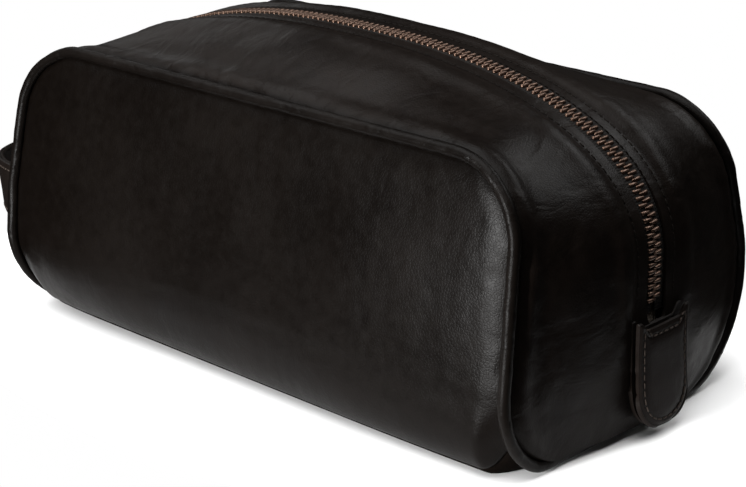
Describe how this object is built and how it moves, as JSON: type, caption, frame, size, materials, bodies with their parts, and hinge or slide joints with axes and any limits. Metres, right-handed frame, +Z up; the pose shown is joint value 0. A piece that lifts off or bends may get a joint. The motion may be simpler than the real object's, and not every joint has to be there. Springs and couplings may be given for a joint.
{
  "type": "shaving kit bag",
  "caption": "Soft leather wash bag with a zip along its top, piped side seams, end tabs and a carry strap at one end.",
  "frame": {"origin": "on the floor under the middle of the bag's base", "axes": "+X along the bag towards its right end, -Y towards the front panel, +Z up"},
  "size_m": [0.3144, 0.1436, 0.1213],
  "materials": {
    "leather": "smooth waxed black-brown, soft gloss",
    "piping_leather": "smooth waxed, worn soft along its top",
    "tab_leather": "smooth waxed with raw dark edges and stitching",
    "lining": "plain woven cotton",
    "zip_tape": "black herringbone tape",
    "zip_metal": "antique copper, rubbed bright on top",
    "slider_metal": "antique copper, satin",
    "piping_cord": "twisted cotton cord",
    "stiffener": "plain bag board"
  },
  "bodies": {
    "root": {"base_panel": "leather", "base_board": "stiffener", "base_lining": "lining", "front_panel_foot": "leather", "back_panel_foot": "leather", "gusset_foot_right": "leather", "gusset_foot_left": "leather", "end_lining_right": "lining", "end_lining_left": "lining", "piping_foot_right": "piping_leather", "piping_foot_left": "piping_leather", "piping_core_right": "piping_cord", "piping_core_left": "piping_cord", "zip_tape_end_right": "zip_tape", "zip_tape_end_left": "zip_tape", "zip_teeth_end_left": "zip_metal", "zip_bottom_stop": "zip_metal", "zip_top_stops": "zip_metal", "tab_anchor_right": "tab_leather", "tab_outer_left": "tab_leather", "tab_inner_left": "tab_leather"},
    "front_half": {"front_panel": "leather", "front_lining": "lining", "gusset_front": "leather", "gusset_lining_front": "lining", "piping_front": "piping_leather", "piping_core_front": "piping_cord", "zip_tape_front": "zip_tape", "zip_teeth_front": "zip_metal"},
    "back_half": {"back_panel": "leather", "back_lining": "lining", "gusset_back": "leather", "gusset_lining_back": "lining", "piping_back": "piping_leather", "piping_core_back": "piping_cord", "zip_tape_back": "zip_tape", "zip_teeth_back": "zip_metal"},
    "tab_right": {"tab_outer_right": "tab_leather", "tab_inner_right": "tab_leather"},
    "slider": {"slider_body": "slider_metal"},
    "puller": {"puller_pin": "slider_metal", "zip_puller": "slider_metal"},
    "strap": {"strap_outer": "tab_leather", "strap_inner": "tab_leather"}
  },
  "joints": [
    {"name": "front_opening", "type": "hinge", "parent": "root", "child": "front_half", "pos_m": [0, -0.072, 0.0436], "axis": [1, 0, 0], "range_deg": [0, 25]},
    {"name": "back_opening", "type": "hinge", "parent": "root", "child": "back_half", "pos_m": [0, 0.072, 0.0436], "axis": [-1, 0, 0], "range_deg": [0, 25]},
    {"name": "tab_right_lift", "type": "hinge", "parent": "root", "child": "tab_right", "pos_m": [0.1382, 0, 0.038], "axis": [0, -1, 0], "range_deg": [0, 60]},
    {"name": "slider_slide", "type": "slide", "parent": "root", "child": "slider", "axis": [0, 0, 1], "range_m": [0, 0.008]},
    {"name": "puller_swing", "type": "hinge", "parent": "slider", "child": "puller", "pos_m": [-0.139, 0, 0.0526], "axis": [0, 1, 0], "range_deg": [0, 35]},
    {"name": "strap_swing", "type": "hinge", "parent": "root", "child": "strap", "pos_m": [-0.127, 0, 0.043], "axis": [0, 1, 0], "range_deg": [-6, 6]}
  ]
}
